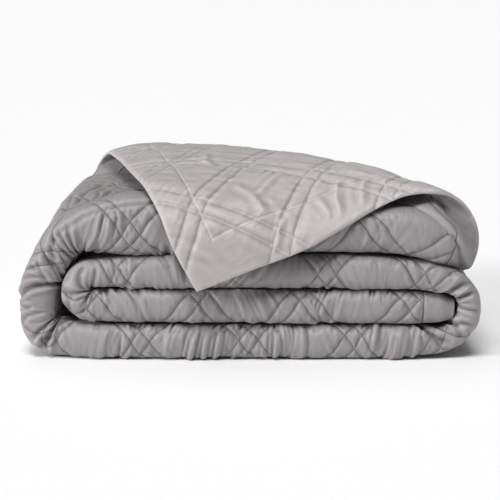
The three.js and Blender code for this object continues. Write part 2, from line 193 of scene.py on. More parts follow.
ROLL_CREASES = [
    (-9.0, 28.0, [(1722, 320), (1726, 200), (1732, 100), (1738, 10)]),
    (4.0, 3.2, [(1720, 330), (1727, 270), (1724, 215)]),
    (5.5, 3.0, [(1733, 318), (1738, 262), (1750, 205), (1752, 150)]),
    (3.5, 2.8, [(1746, 330), (1756, 282), (1754, 250)]),
    (5.0, 3.0, [(1764, 306), (1766, 252), (1778, 214)]),
    (3.0, 2.6, [(1742, 196), (1766, 176), (1790, 150)]),
    (4.0, 2.8, [(1786, 300), (1782, 262), (1797, 226)]),
    (3.0, 2.6, [(1730, 150), (1748, 112), (1770, 90)]),
    (3.0, 2.6, [(1800, 290), (1806, 250), (1822, 222)]),
]
TURNED_RIDGES = [
    (2.4, 3.6, [(2140, 84), (2169, 98), (2200, 104)]),
    (2.0, 3.2, [(2172, 102), (2154, 125), (2138, 150)]),
    (2.0, 3.0, [(2200, 160), (2226, 170)]),
    (2.6, 4.0, [(2184, 196), (2210, 182), (2234, 178)]),
    (2.0, 3.4, [(2190, 228), (2216, 212), (2233, 206)]),
    (2.0, 3.0, [(2204, 120), (2222, 105), (2233, 95)]),
    (2.0, 3.4, [(2020, 82), (2060, 74), (2098, 80)]),
]
BORDER_CREASES = [
    (2.4, 5.0, [(2200, 312), (2208, 327), (2216, 347), (2232, 368)]),
    (2.0, 5.0, [(2198, 332), (2206, 350), (2222, 378)]),
]
CREASES = (LEFT_WRAP_CREASES + INNER_BEND_CREASES + RIGHT_BEND_CREASES + ROLL_CREASES + TURNED_RIDGES
           + BORDER_CREASES)
# Their section in half widths: reach, sharpness, then height and place of the ridges beside the trough.
CREASE_REACH, CREASE_SHARP = 5, 1.15
RIDGE_HEIGHT, RIDGE_PLACE = 0.35, 2.3
CREASE_WOBBLE = (0.8, 14, 14)
CREASE_STARTS, CREASE_ENDS = (0, 0.2), (0.75, 1)

# How strong the folds across the front are. Columns: place along the cloth, strength.
PUCKER_ZONES = np.array([
    (0, 0.2), (60, 0.6), (250, 0.55), (420, 0.7), (460, 0.35), (530, 0.35), (580, 1.1), (700, 0.8),
    (880, 0.5), (960, 0.3), (1120, 0.4), (1180, 0.95), (1300, 0.8), (1380, 0.75), (1460, 1.0), (1540, 0.7),
    (1600, 0.3), (1700, 0.4), (1740, 0.9), (1860, 0.8), (2000, 0.4), (2236, 0.2),
])
# Those folds by height, width along the cloth and length across it.
WIDE_FOLDS = (8.4, 9, 40)
FINE_FOLDS = (2.4, 4.2, 26)
SOFT_FOLDS = (0.9, 17, 60)
FOLD_CREST, FOLD_MEAN = 0.8, 0.35
# They come in patches (size along and across, then limits of the noise), and each diamond has its own slant,
# spacing and shift.
PATCH_SIZE, PATCH_LIMITS = (33, 44), (-0.45, 0.65)
FOLD_SLANT, FOLD_SPACING, FOLD_SHIFT = 0.7, 0.25, 90
SLANT_DRIFT = (0.5, 60, 90)
FOLD_BASE, FOLD_AT_STITCH = 0.8, 0.8

# Relief of the two cloths. The limits of the front folds are shares of their bend.
SHOWS = (0.95, 1.45)
GATHERED = (1.1, 1.7)
GAP_REACH, GAP_FLAT, GAP_GATHER = 13, 0.45, 1.1
FACE_SEAM, FACE_SEAM_REACH, FACE_SEAM_PUCKER = 1.1, 9, 0.8
REVERSE_SEAM, REVERSE_SEAM_REACH, REVERSE_SEAM_PUCKER = 0.9, 4, 0.5
HEM_REACH, HEM_PUCKER = 7, 0.5
QUILTED_FROM = 10  # how far inside the border's seam the quilting is full
SMOOTHED = (8, 30)  # how far before the front fold the open cloth gets smoother
SMOOTHED_GATHERS, SMOOTHED_RELIEF = 0.8, 0.4
BORDER_GATHERS = 0.15
TURNED_FACE_FLAT = 0.6
OPEN_PLY_RELIEF = 0.8
LOOSE_FROM_HEM = 30
# Loose wrinkles by height and size. The narrow ones of the reverse run slantwise.
FACE_LOOSE = ((0.35, 18, 18), (0.5, 45, 30))
REVERSE_LOOSE, REVERSE_SLANTED = (1.4, 40, 40), (0.8, 10, 28)
FACE_SEAM_STEP, REVERSE_SEAM_STEP, HEM_STEP = 5, 5, 8
GAP_WAVES = (4.6, 25)

FACE, UNDER_FACE, OVER_REVERSE, REVERSE = range(4)
# The lowest height of each level, where the pile flattens on the surface.
FLATTEN = (0.0, 5.0, 5.6, 7.0)


def smooth(value, low, high):
    """A soft step from zero at low to one at high."""
    u = np.clip((value - low) / (high - low), 0, 1)
    return u * u * (3 - 2 * u)


def scatter(i, j, seed):
    """A fixed number from -1 to 1 for each whole i and j."""
    h = (i * 73856093) ^ (j * 19349663) ^ (seed * 83492791)
    h = ((h ^ (h >> 13)) * 1274126177) & 0x7FFFFFFF
    return ((h ^ (h >> 16)) & 0xFFFF) / 32767.5 - 1


def noise(x, y, seed):
    """Smooth uneven values from about -1 to 1, a step apart at each whole x and y. The seed picks them."""
    x, y = np.broadcast_arrays(np.asarray(x, float), np.asarray(y, float))
    i, j = np.floor(x).astype(np.int64), np.floor(y).astype(np.int64)
    u, v = x - i, y - j
    u, v = u * u * u * (u * (6 * u - 15) + 10), v * v * v * (v * (6 * v - 15) + 10)
    low = scatter(i, j, seed) * (1 - u) + scatter(i + 1, j, seed) * u
    high = scatter(i, j + 1, seed) * (1 - u) + scatter(i + 1, j + 1, seed) * u
    return low * (1 - v) + high * v


def waves(x, y, shape, seed):
    """Noise of a given shape: height, then size along x and y."""
    height, wide, long = shape
    return height * noise(x / wide, y / long, seed)


def trace_line():
    """The pack's middle line: runs (start length, x, z, heading, curvature), stops at corners, length."""
    corners = TURNS[:, :2]
    runs, stops, length, start = [], [0.0], 0.0, corners[0]
    for i in range(1, len(corners)):
        into = (corners[i] - corners[i - 1]) / np.linalg.norm(corners[i] - corners[i - 1])
        away = into
        if i < len(corners) - 1:
            away = (corners[i + 1] - corners[i]) / np.linalg.norm(corners[i + 1] - corners[i])
        turn = math.atan2(into[0] * away[1] - into[1] * away[0], into @ away)
        cut = TURNS[i, 2] * math.tan(abs(turn) / 2)
        enter = corners[i] - into * cut
        heading = math.atan2(into[1], into[0])
        runs.append((length, *start, heading, 0.0))
        length += np.linalg.norm(enter - start)
        arc = TURNS[i, 2] * abs(turn) if cut > TINY else 0.0
        stops.append(length + arc / 2)
        if arc:
            runs.append((length, *enter, heading, turn / arc))
            length += arc
        start = corners[i] + away * cut
    return np.array(runs), np.array(stops), length


RUNS, STOPS, LENGTH = trace_line()
RIGHT_BEND = (STOPS[8], STOPS[11])
LEFT_WRAP = STOPS[13]
# Where the cloth before its front fold comes into view and goes out of it.
BEND_OPENS = (RIGHT_BEND[0], RIGHT_BEND[0] + 40)
BEND_CLOSES = (RIGHT_BEND[1] - 90, RIGHT_BEND[1] - 50)
WRAP_OPENS = (LEFT_WRAP + 40, LEFT_WRAP + 90)
# The reverse of the ply that the turned corner uncovers, by the places along and across the cloth.
OPEN_PLY_ALONG = (LEFT_WRAP + 260, LEFT_WRAP + 330)
OPEN_PLY_ACROSS = (WIDTH - 380, WIDTH - 340)


def ease_column(s, column):
    """A column of the turns, eased from stop to stop."""
    i = np.clip(np.searchsorted(STOPS, s, side="left") - 1, 0, len(STOPS) - 2)
    share = smooth(s, STOPS[i], STOPS[i + 1])
    return TURNS[i, column] * (1 - share) + TURNS[i + 1, column] * share


class Pack:
    """The pack at given lengths: its middle, its outward direction and the shape of its section."""

    def __init__(self, s):
        k = np.clip(np.searchsorted(RUNS[:, 0], s + TINY, side="right") - 1, 0, len(RUNS) - 1)
        start, x, z, heading, curve = RUNS[k].T
        along = s - start
        angle = heading + curve * along
        bent = np.abs(curve) > TINY
        safe = np.where(bent, curve, 1.0)
        self.x = x + np.where(bent, (np.sin(angle) - np.sin(heading)) / safe, along * np.cos(heading))
        self.z = z + np.where(bent, (np.cos(heading) - np.cos(angle)) / safe, along * np.sin(heading))
        self.out_x, self.out_z = -np.sin(angle), np.cos(angle)
        half = ease_column(s, HALF)
        self.crest = ease_column(s, CREST)
        self.sag = ease_column(s, SAG)
        self.ply = np.minimum(PLY, (2 * half - 3 * PLY_GAP) / 4)
        self.outer = half - self.ply / 2
        self.inner = self.outer - self.ply - (2 * half - 4 * self.ply) / 3
        self.bend = self.outer + (self.crest + self.sag) / 2
        uneven = FRONT_UNEVEN[0] * noise(s / FRONT_UNEVEN[1], 0.5, 41)
        self.fold_y = FRONT + ease_column(s, SET_BACK) + uneven + self.ply / 2 + self.bend
        self.back_bend = (self.outer - self.inner) / 2
        uneven = BACK_UNEVEN[0] * noise(s / BACK_UNEVEN[1], 0.5, 42)
        self.back_y = BACK + uneven - self.ply / 2 - self.back_bend
        self.top = FOLD_T - self.bend * math.pi / 2
        self.bottom = FOLD_T + self.bend * math.pi / 2
        self.back_start = self.bottom + self.back_y - self.fold_y
        self.back_end = self.back_start + self.back_bend * math.pi
        self.inner_start = self.back_end + self.back_y - self.fold_y
        self.inner_end = self.inner_start + self.inner * math.pi


def lay_points(s, t):
    """The cloth's middle where it stays in the pack."""
    p = Pack(s)
    behind = p.top - t
    front = (t - p.top) / p.bend
    back = (t - p.back_start) / p.back_bend
    inner = (t - p.inner_start) / p.inner
    share = (t - p.inner_end) / (WIDTH - p.inner_end)
    zones = [t < p.top, t < p.bottom, t < p.back_start, t < p.back_end, t < p.inner_start, t < p.inner_end]
    turn = np.clip(front, 0, math.pi)
    up, forward = np.cos(turn), np.sin(turn)
    up, forward = np.sign(up) * np.abs(up) ** FOLD_SQUARE, forward ** FOLD_SQUARE
    out = np.select(zones, [
        p.outer + p.crest * (1 - smooth(behind, 0, CREST_FADE)),
        (p.crest - p.sag) / 2 + p.bend * up,
        -p.outer - p.sag * (1 - smooth(t - p.bottom, 0, CREST_FADE)),
        -(p.outer + p.inner) / 2 - p.back_bend * np.cos(back),
        -p.inner,
        -p.inner * np.cos(inner),
    ], p.inner)
    y = np.select(zones, [
        p.fold_y + behind,
        p.fold_y - p.bend * forward,
        p.fold_y + t - p.bottom,
        p.back_y + p.back_bend * np.sin(back),
        p.back_y - (t - p.back_end),
        p.fold_y - p.inner * np.sin(inner),
    ], p.fold_y * (1 - share) + (BACK - INNER_HEM_IN) * share)
    return np.stack([p.x + p.out_x * out, y, p.z + p.out_z * out], -1)


def hem_curve(rows):
    """A smooth curve through the rows: shares of its length, and points there."""
    p = np.array(rows, float)
    p = np.vstack([2 * p[0] - p[1], p, 2 * p[-1] - p[-2]])
    u = np.linspace(0, 1, CURVE_STEPS, endpoint=False)[:, None]
    points = []
    for a, b, c, d in zip(p, p[1:], p[2:], p[3:]):
        ab, bc, cd = (math.sqrt(np.linalg.norm(q)) for q in (b - a, c - b, d - c))
        lead = bc * ((b - a) / ab - (c - a) / (ab + bc) + (c - b) / bc)
        trail = bc * ((c - b) / bc - (d - b) / (bc + cd) + (d - c) / cd)
        square, cube = 3 * (c - b) - 2 * lead - trail, 2 * (b - c) + lead + trail
        points.append(b + u * (lead + u * (square + u * cube)))
    points = np.vstack([*points, p[-2]])
    lengths = np.r_[0, np.cumsum(np.linalg.norm(np.diff(points, axis=0), axis=1))]
    return lengths / lengths[-1], points


SIDE_HEM_CURVE = hem_curve(TURNED_SIDE_HEM)
END_HEM_CURVE = hem_curve(TURNED_END_HEM)
TURNED_END = float(Pack(np.array([LENGTH])).bottom[0])


def along_curve(curve, share):
    return np.stack([np.interp(share, curve[0], curve[1][:, i]) for i in range(3)], -1)


def roll_column(share, column):
    """A column of the roll's rows as one smooth curve."""
    keys, values = ROLL[:, 0], ROLL[:, column]
    slopes = np.r_[
        (values[1] - values[0]) / (keys[1] - keys[0]),
        (values[2:] - values[:-2]) / (keys[2:] - keys[:-2]),
        (values[-1] - values[-2]) / (keys[-1] - keys[-2]),
    ]
    i = np.clip(np.searchsorted(keys, share, side="left") - 1, 0, len(keys) - 2)
    span = keys[i + 1] - keys[i]
    u = (share - keys[i]) / span
    rise, lead, trail = values[i + 1] - values[i], slopes[i] * span, slopes[i + 1] * span
    return values[i] + u * (lead + u * (3 * rise - 2 * lead - trail + u * (lead + trail - 2 * rise)))


def turned_share(s, t):
    """Zero on the crease of the turned corner, one at its tip, negative on the cloth that stays put."""
    return 1 - (LENGTH - s) / TURNED_SIDE - t / TURNED_END


def between_hems(share, across):
    """Points of the roll: a span from hem to hem that rises and leans back in its middle."""
    middle = (4 * across * (1 - across)) ** ROLL_FULL
    point = along_curve(SIDE_HEM_CURVE, share) * (1 - across)[:, None]
    point += along_curve(END_HEM_CURVE, share) * across[:, None]
    back = middle * roll_column(share, 2)
    return point + np.stack([ROLL_LEAN[0] * back, ROLL_LEAN[1] * back, middle * roll_column(share, 1)], -1)


def turned_points(s, t):
    """The cloth's middle on the turned corner."""
    share = np.clip(turned_share(s, t), 0, 1)
    from_end = (LENGTH - s) / TURNED_SIDE
    from_side = t / TURNED_END
    across = np.clip(from_side / np.maximum(from_end + from_side, TINY), 0, 1)
    crease = lay_points(LENGTH - TURNED_SIDE * (1 - across), TURNED_END * across)
    join = 1 - smooth(share, 0, JOIN_SHARE)
    return between_hems(share, across) + (crease - between_hems(np.zeros_like(share), across)) * join[:, None]


def middle_points(s, t):
    """The middle of the cloth: s along its length, t across its width from the outer side hem."""
    points = lay_points(s, t)
    turned = turned_share(s, t) > 0
    if turned.any():
        points[turned] = turned_points(s[turned], t[turned])
    tucked = smooth(s, LENGTH - TUCK_STRIP, LENGTH) * smooth(t, *TUCK_ACROSS)
    tucked = tucked * (1 - smooth(points[:, 1], *TUCK_DEEP))
    points[:, 1] += END_TUCK * tucked
    beside_seam = smooth(s, LENGTH - SEAM_STRIP, LENGTH - BORDER) * (1 - smooth(s, LENGTH - BORDER, LENGTH))
    top = SEAM_TOP[0] * np.exp(-((t - SEAM_TOP[1]) / SEAM_TOP[2]) ** 2)
    front = SEAM_FRONT[0] * smooth(t, *SEAM_FRONT[1:3]) * (1 - smooth(t, *SEAM_FRONT[3:]))
    points[:, 0] += (top + front) * beside_seam
    return points


def face_direction(s, t):
    """The direction out of the cloth on its face side."""
    step = 0.5
    along = middle_points(np.minimum(s + step, LENGTH), t) - middle_points(np.maximum(s - step, 0), t)
    across = middle_points(s, np.minimum(t + step, WIDTH)) - middle_points(s, np.maximum(t - step, 0))
    normal = np.cross(across, along)
    return normal / np.maximum(np.linalg.norm(normal, axis=1), TINY)[:, None]


def open_side(s, t):
    """One where the cloth before its front fold is open to view: round the two bends and on top."""
    right = smooth(s, *BEND_OPENS) * (1 - smooth(s, *BEND_CLOSES))
    wrap = smooth(s, *WRAP_OPENS)
    return np.where(t < FOLD_T, np.maximum(right, wrap), 0)


def shows(s, t):
    """One where the cloth shows, falling to zero where a layer lies on the next."""
    bend = Pack(s).bend
    fold = 1 - smooth(np.abs(t - FOLD_T), bend * SHOWS[0], bend * SHOWS[1])
    return np.maximum(fold, open_side(s, t))


def quilt_places(s, t):
    """Places across the two families of lines: each whole multiple of DIAMOND is the middle of a pair."""
    along, across = CROSSINGS.T
    count = DIAMOND * (np.arange(len(CROSSINGS)) - 1)
    front = smooth(t, *QUILT_JOIN)
    plus = np.interp(s, along, along + across - count) * front + TURNED_PLUS * (1 - front)
    minus = np.interp(s, along, along - across - count) * front + TURNED_MINUS * (1 - front)
    return s + t - plus, s - t - minus


def quilting(s, t):
    """Puff of the quilted cloth from 0 to 1, puckers along its stitches, and nearness to a stitch line."""
    places = quilt_places(s, t)
    puff, pucker, close = 1.0, 0.0, 0.0
    for family in (0, 1):
        line = np.round(places[family] / DIAMOND)
        off = (places[family] - line * DIAMOND) / math.sqrt(2)
        along = places[1 - family] / math.sqrt(2)
        stitch = np.abs(np.abs(off) - PAIR / 2)
        between = np.abs(off) < PAIR / 2
        rise = sum(share * (1 - np.exp(-stitch / reach)) for share, reach in PUFF_RISE)
        low = PAIR_PUFF * np.maximum(1 - (2 * off / PAIR) ** 2, 0) ** PAIR_ROUND
        puff = puff * np.where(between, low, rise)
        near = np.exp(-stitch / PUCKER_REACH) * np.where(between, PUCKER_PAIR, 1.0)
        pucker = pucker + near * noise(along / PUCKER_STEP + off / 30, line * 3.7 + off / 40, 11 + family)
        close = np.maximum(close, np.exp(-stitch / CLOSE_REACH))
    return puff, pucker, close


def creases(s, t):
    """Depth of the main creases: a trough with a low ridge on both sides, fading at its ends."""
    depth = np.zeros_like(s)
    wobble = waves(s, t, CREASE_WOBBLE, 61)
    for deep, wide, places in CREASES:
        places = np.array(places, float)
        low, high = places.min(0) - CREASE_REACH * wide, places.max(0) + CREASE_REACH * wide
        near = (s > low[0]) & (s < high[0]) & (t > low[1]) & (t < high[1])
        if not near.any():
            continue
        spot = np.stack([s[near], t[near]], -1)
        lengths = np.r_[0, np.cumsum(np.linalg.norm(np.diff(places, axis=0), axis=1))]
        nearest, share = np.full(len(spot), np.inf), np.zeros(len(spot))
        for k in range(len(places) - 1):
            step = places[k + 1] - places[k]
            u = np.clip(((spot - places[k]) @ step) / (step @ step), 0, 1)
            away = np.linalg.norm(spot - places[k] - u[:, None] * step, axis=1)
            closer = away < nearest
            nearest = np.where(closer, away, nearest)
            share = np.where(closer, (lengths[k] + u * np.linalg.norm(step)) / lengths[-1], share)
        away = nearest + wobble[near]
        fade = smooth(share, *CREASE_STARTS) * (1 - smooth(share, *CREASE_ENDS))
        trough = np.exp(-np.abs(away / wide) ** CREASE_SHARP)
        ridge = RIDGE_HEIGHT * np.exp(-((away - RIDGE_PLACE * wide) / wide) ** 2)
        depth[near] += deep * fade * (trough - ridge)
    return depth


def puckers(s, t):
    """Soft folds and narrow creases across the front folds, each diamond with its own."""
    plus, minus = quilt_places(s, t)
    i, j = np.floor(plus / DIAMOND).astype(np.int64), np.floor(minus / DIAMOND).astype(np.int64)
    slant = FOLD_SLANT * scatter(i, j, 71) + waves(s, t, SLANT_DRIFT, 25)
    lean = s * (1 + FOLD_SPACING * scatter(i, j, 73)) + (t - FOLD_T) * slant + FOLD_SHIFT * scatter(i, j, 72)
    patch = smooth(waves(s, t, (1, *PATCH_SIZE), 24), *PATCH_LIMITS)
    wide = np.abs(waves(lean, t, (1, *WIDE_FOLDS[1:]), 21)) ** FOLD_CREST
    fine = np.abs(waves(lean, t, (1, *FINE_FOLDS[1:]), 22)) ** FOLD_CREST
    creased = WIDE_FOLDS[0] * (wide - FOLD_MEAN) + FINE_FOLDS[0] * (fine - FOLD_MEAN)
    return patch * creased + waves(lean, t, SOFT_FOLDS, 23)


def inside_hems(s, t):
    """How far a place lies from the nearest hem."""
    return np.minimum.reduce([s, LENGTH - s, t, WIDTH - t])


def face_relief(s, t):
    """Height of the face's quilting, puckers and folds over the plain cloth."""
    inside = inside_hems(s, t) - BORDER
    quilted = smooth(inside, 0, QUILTED_FROM)
    puff, pucker, close = quilting(s, t)
    seam = np.exp(-np.abs(inside) / FACE_SEAM_REACH)
    bend = Pack(s).bend
    away = np.abs(t - FOLD_T)
    fold = 1 - smooth(away, bend * GATHERED[0], bend * GATHERED[1])
    outside = open_side(s, t)
    gap = np.exp(-((away - bend * GATHERED[0]) / GAP_REACH) ** 2) * (1 - outside)
    smoothed = smooth(FOLD_T - t, *SMOOTHED) * outside
    relief = FACE_PUFF * puff * quilted * (1 - GAP_FLAT * gap) + FACE_PUCKER * pucker * quilted
    along = s / FACE_SEAM_STEP + t / FACE_SEAM_STEP
    relief = relief - FACE_SEAM * seam + FACE_SEAM_PUCKER * seam * noise(along, inside / 30, 23)
    loose = waves(s, t, FACE_LOOSE[0], 26) + waves(s, t, FACE_LOOSE[1], 27)
    held = np.sqrt(puff) * quilted + BORDER_GATHERS * (1 - quilted)
    gathers = puckers(s, t) * (FOLD_BASE + FOLD_AT_STITCH * close)
    gathers = gathers + gap * GAP_GATHER * noise(s / GAP_WAVES[0], t / GAP_WAVES[1], 28)
    gathers = gathers * fold * held * (1 - SMOOTHED_GATHERS * smoothed) * np.interp(s, *PUCKER_ZONES.T)
    return (relief * (1 - SMOOTHED_RELIEF * smoothed) + loose) * shows(s, t) + gathers


def reverse_relief(s, t):
    """Height of the reverse's quilting, puckers and loose wrinkles over the plain cloth."""
    edge = inside_hems(s, t)
    puff, pucker, _ = quilting(s, t)
    seam = np.exp(-np.abs(edge - BORDER) / REVERSE_SEAM_REACH)
    hem = np.exp(-edge / HEM_REACH)
    relief = REVERSE_PUFF * puff + REVERSE_PUCKER * pucker - REVERSE_SEAM * seam
    loose = waves(s, t, REVERSE_LOOSE, 33) + waves(s - t, s + t, REVERSE_SLANTED, 34)
    relief = relief + loose * smooth(edge, 0, LOOSE_FROM_HEM)
    along = s / REVERSE_SEAM_STEP + t / REVERSE_SEAM_STEP
    relief = relief + REVERSE_SEAM_PUCKER * seam * noise(along, 0.5, 31)
    return relief + HEM_PUCKER * hem * noise(s / HEM_STEP + t / HEM_STEP, 0.5, 32)


def cloth_points(s, t, level):
    """Points of one level through the cloth, in metres in the row frame."""
    s, t = np.clip(s, 0, LENGTH), np.clip(t, 0, WIDTH)
    edge = inside_hems(s, t)
    ply = Pack(s).ply
    between = -ply / 2 + REVERSE_CLOTH
    turned = smooth(turned_share(s, t), 0, TURNED_FROM)
    if level == FACE:
        thin = ply * np.maximum(
            (1 - HEM_PLY / PLY) * (1 - smooth(edge, 0, HEM_FADE)), (1 - TURNED_PLY / PLY) * turned)
        rise = ply / 2 - thin + face_relief(s, t) * (1 - TURNED_FACE_FLAT * turned)
    elif level == REVERSE:
        open_ply = smooth(t, *OPEN_PLY_ACROSS) * smooth(s, *OPEN_PLY_ALONG)
        rise = -ply / 2 - reverse_relief(s, t) * np.maximum(turned, OPEN_PLY_RELIEF * open_ply)
    else:
        rise = between + (CLOTH_GAP / 2 if level == UNDER_FACE else -CLOTH_GAP / 2)
    rounding = np.sqrt(1 - (1 - np.minimum(edge, HEM_ROUND) / HEM_ROUND) ** 2)
    rise = between + (rise - between) * np.maximum(rounding, HEM_EDGE) - creases(s, t)
    points = middle_points(s, t) + face_direction(s, t) * rise[:, None]
    points[:, 2] = np.maximum(points[:, 2], FLATTEN[level])
    return (points - BOX_CENTRE) / MM_PER_M


KEY_SLACK = 1e-6


def steps(*stretches):
    """Places along a line from stretches of (from, to, step), end to end."""
    places = [np.linspace(a, b, max(2, int(math.ceil((b - a) / step)) + 1)) for a, b, step in stretches]
    return np.unique(np.round(np.concatenate(places), 4))


def zip_rows(first, second, keys_first, keys_second):
    """Triangles between two rows of points, in step with their keys."""
    faces, i, j = [], 0, 0
    while i < len(first) - 1 or j < len(second) - 1:
        take_first = j == len(second) - 1 or (
            i < len(first) - 1 and keys_first[i + 1] <= keys_second[j + 1] + KEY_SLACK)
        if take_first:
            faces.append((first[i], first[i + 1], second[j]))
            i += 1
        else:
            faces.append((first[i], second[j + 1], second[j]))
            j += 1
    return faces


def level_surface(rows, level, offset):
    """Points, flat places and faces of one level. Rows are (t, lengths), and t rises."""
    s = np.concatenate([lengths for _, lengths in rows])
    t = np.concatenate([np.full(len(lengths), place) for place, lengths in rows])
    starts = offset + np.r_[0, np.cumsum([len(lengths) for _, lengths in rows])]
    faces = []
    for k in range(len(rows) - 1):
        here, there = rows[k][1], rows[k + 1][1]
        first = np.arange(starts[k], starts[k + 1])
        second = np.arange(starts[k + 1], starts[k + 2])
        if len(here) == len(there) and np.array_equal(here, there):
            faces += np.stack([first[:-1], first[1:], second[1:], second[:-1]], -1).tolist()
        else:
            faces += zip_rows(first.tolist(), second.tolist(), here, there)
    return cloth_points(s, t, level), np.stack([s, t], -1), faces, starts


def make_cloth(name, upper, upper_rows, lower, lower_rows):
    """A closed cloth between two levels."""
    points, flat, faces, starts = level_surface(upper_rows, upper, 0)
    under_points, under_flat, under_faces, under_starts = level_surface(lower_rows, lower, len(points))
    # s runs along and t across, so across x along is the face side: upper faces run s after t.
    faces = [face[::-1] for face in faces] + under_faces

    def edge_of(rows, row_starts, which):
        if which in ("first", "last"):
            k = 0 if which == "first" else len(rows) - 1
            return np.arange(row_starts[k], row_starts[k + 1]).tolist(), rows[k][1]
        ends = row_starts[:-1] if which == "left" else row_starts[1:] - 1
        return ends.tolist(), np.array([place for place, _ in rows])

    for which, flipped in (("first", False), ("last", True), ("left", True), ("right", False)):
        top, top_keys = edge_of(upper_rows, starts, which)
        low, low_keys = edge_of(lower_rows, under_starts, which)
        side = zip_rows(top, low, top_keys, low_keys)
        faces += [face[::-1] for face in side] if flipped else side
    mesh = bpy.data.meshes.new(name)
    mesh.from_pydata(np.vstack([points, under_points]).tolist(), [], faces)
    mesh.validate()
    loops = np.zeros(len(mesh.loops), np.int32)
    mesh.loops.foreach_get("vertex_index", loops)
    places = (np.vstack([flat, under_flat]) / MM_PER_M)[loops]
    mesh.uv_layers.new(name="cloth").data.foreach_set("uv", places.astype(np.float32).ravel())
    lines = np.stack(quilt_places(*(places.T * MM_PER_M)), -1) / MM_PER_M
    mesh.uv_layers.new(name="lines").data.foreach_set("uv", lines.astype(np.float32).ravel())
    mesh.shade_smooth()
    piece = bpy.data.objects.new(name, mesh)
    bpy.context.scene.collection.objects.link(piece)
    return piece


def banded_rows(bands, end):
    """Rows (t, lengths) from bands of (from t, step, lengths), up to the end t."""
    rows = []
    limits = [band[0] for band in bands[1:]] + [end]
    for (start, step, lengths), stop in zip(bands, limits):
        count = max(1, int(round((stop - start) / step)))
        rows += [(start + (stop - start) * i / count, lengths) for i in range(count)]
    return [*rows, (end, bands[-1][2])]


# Rows of mesh points: places beside a hem, limits along the cloth, and the distances between points.
HEM_PLACES = np.array([0, 0.3, 0.9, 1.8, 3.2])
HEM_DONE = 5
WRAP_FROM = LEFT_WRAP - 10
BEND_FROM, BEND_TO = RIGHT_BEND[0] - 20, RIGHT_BEND[1] - 30
ROLL_FROM, ROLL_TO, ARCH_FROM = 1715, 1870, 2070
FRONT_STEP = 1.5
REAR_STEP = 9
HIDDEN_STEP = 22
FLAP_STEP, FLAP_STEP_HIDDEN = 2.0, 9
FLAP_FRONT = 330  # place across the cloth where the turned corner's rows go over into the front fold
# Places across the cloth: the front fold from its top to its underside, the back fold and the inner fold.
FRONT_ROWS = (360, 379, 434, 454, 470)
BACK_ROWS = (780, 850)
INNER_ROWS = (1160, 1260)
REVERSE_OPENS = 1215
UNCOVERED_FROM = 1500
FLAT_STEP = 40


def lengths_between(start, end):
    """Lengths along the cloth for its front folds, beside them, on top, at the back and where none show."""
    def cut(places):
        kept = places[(places > start + 0.2) & (places < end - 0.2)]
        return np.r_[start, kept, end]
    front = cut(steps((0, LENGTH, FRONT_STEP)))
    beside = cut(steps((0, WRAP_FROM, 4), (WRAP_FROM, LENGTH, FRONT_STEP)))
    top = cut(steps(
        (0, BEND_FROM, 30), (BEND_FROM, BEND_TO, 5), (BEND_TO, WRAP_FROM, 30), (WRAP_FROM, ROLL_FROM, 3.6),
        (ROLL_FROM, ROLL_TO, 1.9), (ROLL_TO, ARCH_FROM, 8), (ARCH_FROM, LENGTH, 3.6)))
    rear = cut(steps((0, LENGTH, REAR_STEP)))
    hidden = cut(steps((0, LENGTH, HIDDEN_STEP)))
    return front, beside, top, rear, hidden


def face_rows(start, end):
    """Rows of the face: close on the front folds, the bends and the top, sparse where it is hidden."""
    front, beside, top, rear, hidden = lengths_between(start, end)
    crest, fold, below, under, flat = FRONT_ROWS
    return banded_rows([
        (BORDER, 4.2, top), (crest, 2.1, beside), (fold, 2.1, front), (below, 2.1, beside), (under, 6, rear),
        (flat, FLAT_STEP, hidden), (BACK_ROWS[0], 4, rear), (BACK_ROWS[1], FLAT_STEP, hidden),
        (INNER_ROWS[0], 5, hidden), (INNER_ROWS[1], FLAT_STEP, hidden), (UNCOVERED_FROM, 10, rear),
    ], WIDTH - BORDER)


def under_rows(start, end, t_from, t_to):
    """Sparse rows for a level that no one sees."""
    rear, hidden = lengths_between(start, end)[3:]
    return banded_rows([
        (t_from, FLAT_STEP, hidden), (334, 8, rear), (482, FLAT_STEP, hidden), (BACK_ROWS[0], 8, hidden),
        (BACK_ROWS[1], FLAT_STEP, hidden), (INNER_ROWS[0], 5, hidden), (INNER_ROWS[1], FLAT_STEP, hidden),
    ], t_to)


def side_rows(start, end, t_from, t_to, fine):
    """Rows for a narrow band along one side, with its hem."""
    _, _, top, _, hidden = lengths_between(start, end)
    lengths = top if fine else hidden
    outer = t_from == 0
    hem = HEM_PLACES if outer else WIDTH - HEM_PLACES[::-1]
    inner = np.linspace(HEM_DONE, t_to, 10) if outer else np.linspace(t_from, WIDTH - HEM_DONE, 10)
    places = np.r_[hem, inner] if outer else np.r_[inner, hem]
    return [(float(t), lengths) for t in places]


def end_rows(start, end, fine):
    """Rows for a narrow band along one end, with its hems on three sides."""
    near = HEM_PLACES if start == 0 else LENGTH - HEM_PLACES[::-1]
    inner = np.linspace(HEM_DONE, end, 15) if start == 0 else np.linspace(start, LENGTH - HEM_DONE, 15)
    lengths = np.r_[near, inner] if start == 0 else np.r_[inner, near]
    step = 2.6 if fine else 8
    body = banded_rows([
        (HEM_DONE, step, lengths), (490, FLAT_STEP, lengths), (BACK_ROWS[0], 4, lengths),
        (BACK_ROWS[1], FLAT_STEP, lengths), (INNER_ROWS[0], 4, lengths), (INNER_ROWS[1], FLAT_STEP, lengths),
    ], WIDTH - HEM_DONE)
    first = [(float(t), lengths) for t in HEM_PLACES]
    last = [(float(WIDTH - t), lengths) for t in HEM_PLACES[::-1]]
    return first + body + last


